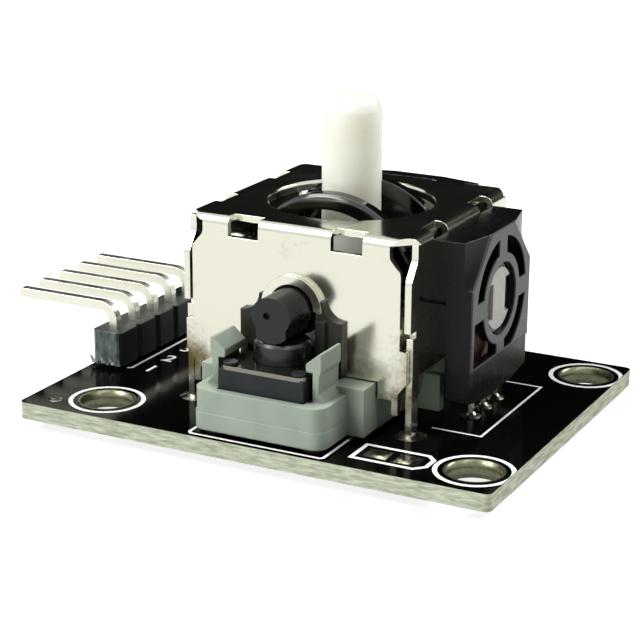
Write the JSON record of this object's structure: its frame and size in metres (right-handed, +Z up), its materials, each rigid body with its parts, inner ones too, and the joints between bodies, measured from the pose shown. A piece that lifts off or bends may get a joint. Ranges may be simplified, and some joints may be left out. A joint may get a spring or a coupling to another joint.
{
  "type": "controller analog stick",
  "caption": "Two-axis thumb stick module on a small circuit board: metal-covered rocking mechanism, rotary resistors, push switch under the front shaft and an angled pin header.",
  "frame": {"origin": "middle of the four mounting holes, on the underside of the circuit board", "axes": "+Z up through the board along the resting stick, +X toward the edge away from the pin header, +Y toward the back resistor"},
  "size_m": [0.0419, 0.027, 0.0228],
  "materials": {
    "board_laminate": "black solder mask over glass-fibre laminate",
    "solder": "bright solder",
    "header_plastic": "black moulded strip",
    "pin_metal": "tinned square pins",
    "cover_sheet": "bright nickel-plated sheet",
    "base_plastic": "grey moulding",
    "black_moulding": "black moulding, slightly worn",
    "stick_plastic": "cream acetal",
    "yoke_plastic": "black smooth moulding",
    "seat_plastic": "natural acetal",
    "spring_wire": "plain spring wire",
    "switch_plastic": "black moulding",
    "switch_sheet": "nickel-plated sheet",
    "button_plastic": "black plunger",
    "dome_sheet": "spring steel dome",
    "tinned_lead": "tinned brass lead",
    "pot_plastic": "black moulded housing",
    "phenolic": "red-brown phenolic board",
    "rotor_plastic": "off-white acetal rotor",
    "wiper_strip": "bright contact strip"
  },
  "bodies": {
    "module": {"circuit_board": "board_laminate", "solder_joints": "solder", "header_strip": "header_plastic", "header_pins": "pin_metal", "metal_cover": "cover_sheet", "base_moulding": "base_plastic", "shaft_guide": "black_moulding", "return_spring": "spring_wire", "switch_body": "switch_plastic", "switch_plate": "switch_sheet", "contact_dome": "dome_sheet", "switch_leads": "tinned_lead", "right_pot_housing": "pot_plastic", "right_pot_wafer": "phenolic", "right_pot_leads": "tinned_lead", "back_pot_housing": "pot_plastic", "back_pot_wafer": "phenolic", "back_pot_leads": "tinned_lead"},
    "upper_rocker": {"upper_yoke": "yoke_plastic", "right_pot_rotor": "rotor_plastic", "right_pot_wiper": "wiper_strip"},
    "back_rotor": {"back_pot_rotor": "rotor_plastic", "back_pot_wiper": "wiper_strip"},
    "lower_rocker": {"lower_yoke": "yoke_plastic"},
    "stick": {"stick_post": "stick_plastic"},
    "button": {"switch_button": "button_plastic"},
    "seat": {"spring_seat": "seat_plastic"}
  },
  "joints": [
    {"name": "side_tilt", "type": "hinge", "parent": "module", "child": "back_rotor", "pos_m": [-0.0006, 0.0009, 0.00915], "axis": [0, 1, 0], "range_deg": [-21, 21], "stiffness_Nm_per_rad": 0.02},
    {"name": "press", "type": "hinge", "parent": "back_rotor", "child": "lower_rocker", "pos_m": [-0.0006, 0.011, 0.00915], "axis": [1, 0, 0], "range_deg": [0, 1], "stiffness_Nm_per_rad": 3},
    {"name": "stick_tilt", "type": "hinge", "parent": "lower_rocker", "child": "stick", "pos_m": [-0.0006, 0.0009, 0.00915], "axis": [1, 0, 0], "range_deg": [-21, 21], "stiffness_Nm_per_rad": 0.02},
    {"name": "upper_tilt", "type": "hinge", "parent": "module", "child": "upper_rocker", "pos_m": [-0.0006, 0.0009, 0.00915], "axis": [1, 0, 0], "range_deg": [-21, 21]},
    {"name": "button_travel", "type": "slide", "parent": "module", "child": "button", "axis": [0, 0, -1], "range_m": [0, 0.00036], "deforming": ["contact_dome"]},
    {"name": "seat_travel", "type": "slide", "parent": "module", "child": "seat", "axis": [0, 0, -1], "range_m": [0, 0.0002], "deforming": ["return_spring"]}
  ],
  "couplings": [
    {"joint": "upper_tilt", "follows": "stick_tilt", "ratio": 1},
    {"joint": "button_travel", "follows": "press", "m_per_rad": 0.0201},
    {"joint": "seat_travel", "follows": "press", "m_per_rad": 0.0101}
  ]
}
